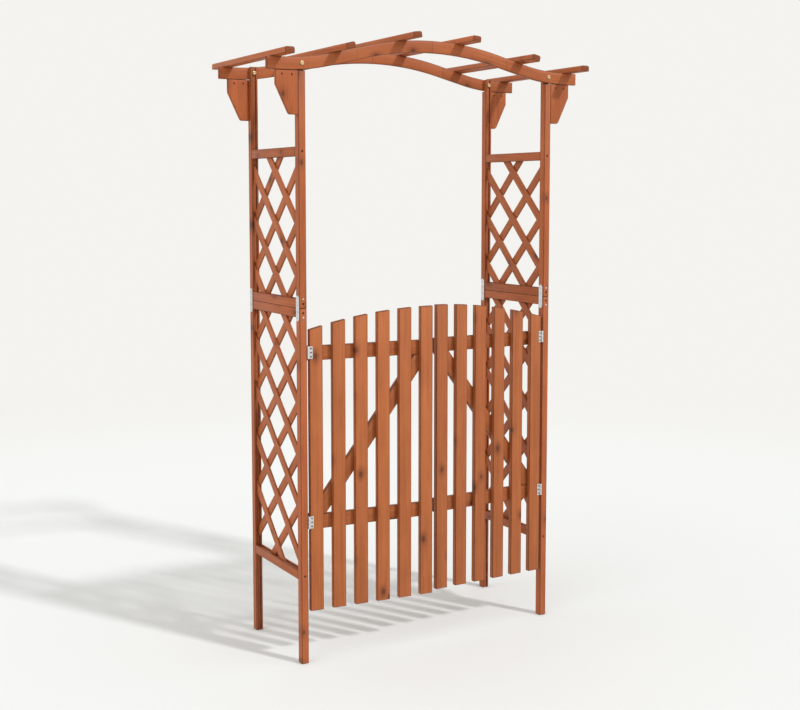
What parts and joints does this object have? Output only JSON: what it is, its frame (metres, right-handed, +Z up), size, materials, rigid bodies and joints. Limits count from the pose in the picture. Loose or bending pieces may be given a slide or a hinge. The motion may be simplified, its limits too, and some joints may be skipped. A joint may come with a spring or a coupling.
{
  "type": "garden arbour gate",
  "caption": "Free-standing wooden garden arbour with lattice sides, a bowed slatted roof and a picket gate of two leaves that swing out from the front posts.",
  "frame": {"origin": "on the ground, midway between the four feet", "axes": "+Z up; +X to the right across the opening as seen from the front; the front, towards which the leaves open, is -Y"},
  "size_m": [1.2, 0.6, 2.0578],
  "materials": {
    "stained_fir": "orange-brown stain, satin, fine straight grain with small knots",
    "stained_fir_light": "the same stain, a little paler",
    "zinc": "bright galvanised",
    "steel": "plain steel",
    "yellow_zinc": "yellow passivated zinc"
  },
  "bodies": {
    "arbour": {"left_front_post_lower": "stained_fir", "left_front_post_upper": "stained_fir", "left_rear_post_lower": "stained_fir", "left_rear_post_upper": "stained_fir", "right_front_post_lower": "stained_fir", "right_front_post_upper": "stained_fir", "right_rear_post_lower": "stained_fir", "right_rear_post_upper": "stained_fir", "left_bottom_rail": "stained_fir", "left_lower_middle_rail": "stained_fir", "left_upper_middle_rail": "stained_fir", "left_top_rail": "stained_fir", "right_bottom_rail": "stained_fir", "right_lower_middle_rail": "stained_fir", "right_upper_middle_rail": "stained_fir", "right_top_rail": "stained_fir", "left_lattice_lower": "stained_fir_light", "left_lattice_upper": "stained_fir_light", "right_lattice_lower": "stained_fir_light", "right_lattice_upper": "stained_fir_light", "front_beam": "stained_fir_light", "rear_beam": "stained_fir_light", "roof_slat_1": "stained_fir_light", "roof_slat_2": "stained_fir_light", "roof_slat_3": "stained_fir_light", "roof_slat_4": "stained_fir_light", "roof_slat_5": "stained_fir_light", "roof_slat_6": "stained_fir_light", "left_front_bracket": "stained_fir", "left_rear_bracket": "stained_fir", "right_front_bracket": "stained_fir", "right_rear_bracket": "stained_fir", "post_hinge_leaves": "zinc", "hinge_pins": "steel", "joining_plates": "zinc", "beam_bolts": "yellow_zinc", "frame_screws": "steel", "small_screws": "zinc"},
    "left_leaf": {"left_picket_1": "stained_fir", "left_picket_2": "stained_fir", "left_picket_3": "stained_fir", "left_picket_4": "stained_fir", "left_picket_5": "stained_fir", "left_picket_6": "stained_fir", "left_gate_rail_lower": "stained_fir", "left_gate_rail_upper": "stained_fir", "left_gate_brace": "stained_fir", "left_hinge_leaves": "zinc", "left_gate_screws": "zinc"},
    "right_leaf": {"right_picket_1": "stained_fir", "right_picket_2": "stained_fir", "right_picket_3": "stained_fir", "right_picket_4": "stained_fir", "right_picket_5": "stained_fir", "right_picket_6": "stained_fir", "right_gate_rail_lower": "stained_fir", "right_gate_rail_upper": "stained_fir", "right_gate_brace": "stained_fir", "right_hinge_leaves": "zinc", "right_gate_screws": "zinc"}
  },
  "joints": [
    {"name": "left_leaf_hinge", "type": "hinge", "parent": "arbour", "child": "left_leaf", "pos_m": [-0.4645, -0.2035, 0.7485], "axis": [0, 0, -1], "range_deg": [-4.5, 175.5]},
    {"name": "right_leaf_hinge", "type": "hinge", "parent": "arbour", "child": "right_leaf", "pos_m": [0.4645, -0.2035, 0.7485], "axis": [0, 0, 1], "range_deg": [-1.5, 178.5]}
  ]
}
